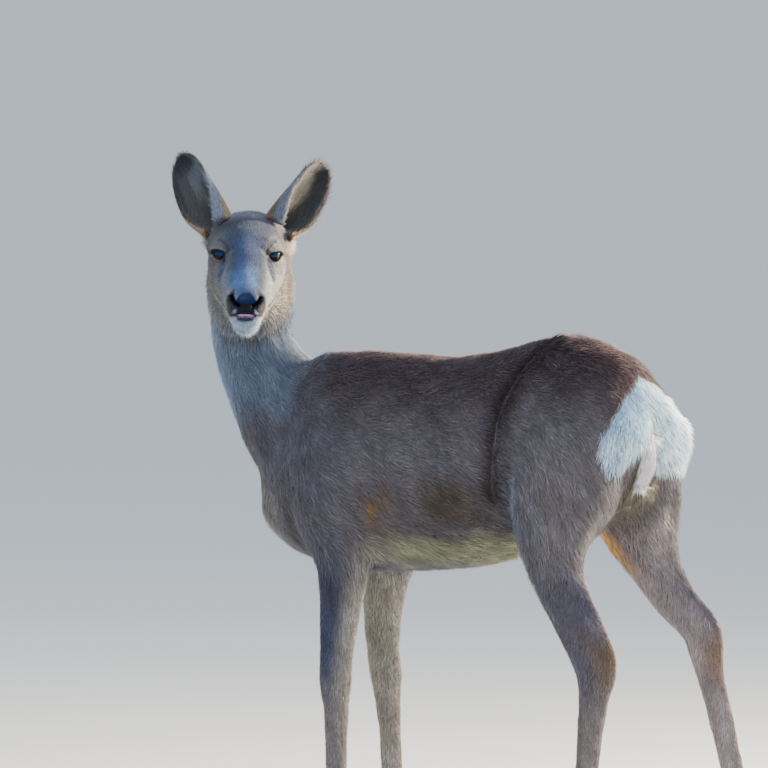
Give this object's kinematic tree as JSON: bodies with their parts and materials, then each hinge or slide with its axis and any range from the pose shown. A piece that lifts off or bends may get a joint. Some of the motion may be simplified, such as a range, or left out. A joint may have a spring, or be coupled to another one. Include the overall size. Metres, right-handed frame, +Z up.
{
  "type": "roe deer doe model",
  "caption": "Life-size still model of a roe deer doe in winter coat, standing with its head turned back over its left side.",
  "frame": {"origin": "on the floor under the middle of the model's bounding box", "axes": "the body faces -Y, the deer's left side is +X, +Z is up"},
  "size_m": [0.2976, 0.8168, 0.9362],
  "materials": {
    "coat": "grey-brown winter coat, dense and slightly coarse",
    "leg_coat": "short flat leg hair, tan to grey-brown",
    "ear_coat": "short hair, dark rim, pale inside",
    "pale_hair": "long soft white hair of the rump",
    "nose_skin": "moist black grained skin",
    "eye": "wet and glossy, dark brown",
    "horn": "dark horn, satin"
  },
  "bodies": {
    "root": {"dewclaw_fore_left_inner": "horn", "dewclaw_fore_left_outer": "horn", "dewclaw_fore_right_inner": "horn", "dewclaw_fore_right_outer": "horn", "dewclaw_hind_left_inner": "horn", "dewclaw_hind_left_outer": "horn", "dewclaw_hind_right_inner": "horn", "dewclaw_hind_right_outer": "horn", "ear_left": "ear_coat", "ear_right": "ear_coat", "eye_left": "eye", "eye_right": "eye", "foreleg_left": "leg_coat", "foreleg_right": "leg_coat", "head": "coat", "hindleg_left": "leg_coat", "hindleg_right": "leg_coat", "hoof_fore_left_inner": "horn", "hoof_fore_left_outer": "horn", "hoof_fore_right_inner": "horn", "hoof_fore_right_outer": "horn", "hoof_hind_left_inner": "horn", "hoof_hind_left_outer": "horn", "hoof_hind_right_inner": "horn", "hoof_hind_right_outer": "horn", "neck": "coat", "nose": "nose_skin", "tail_tuft": "pale_hair", "trunk": "coat"}
  },
  "joints": []
}
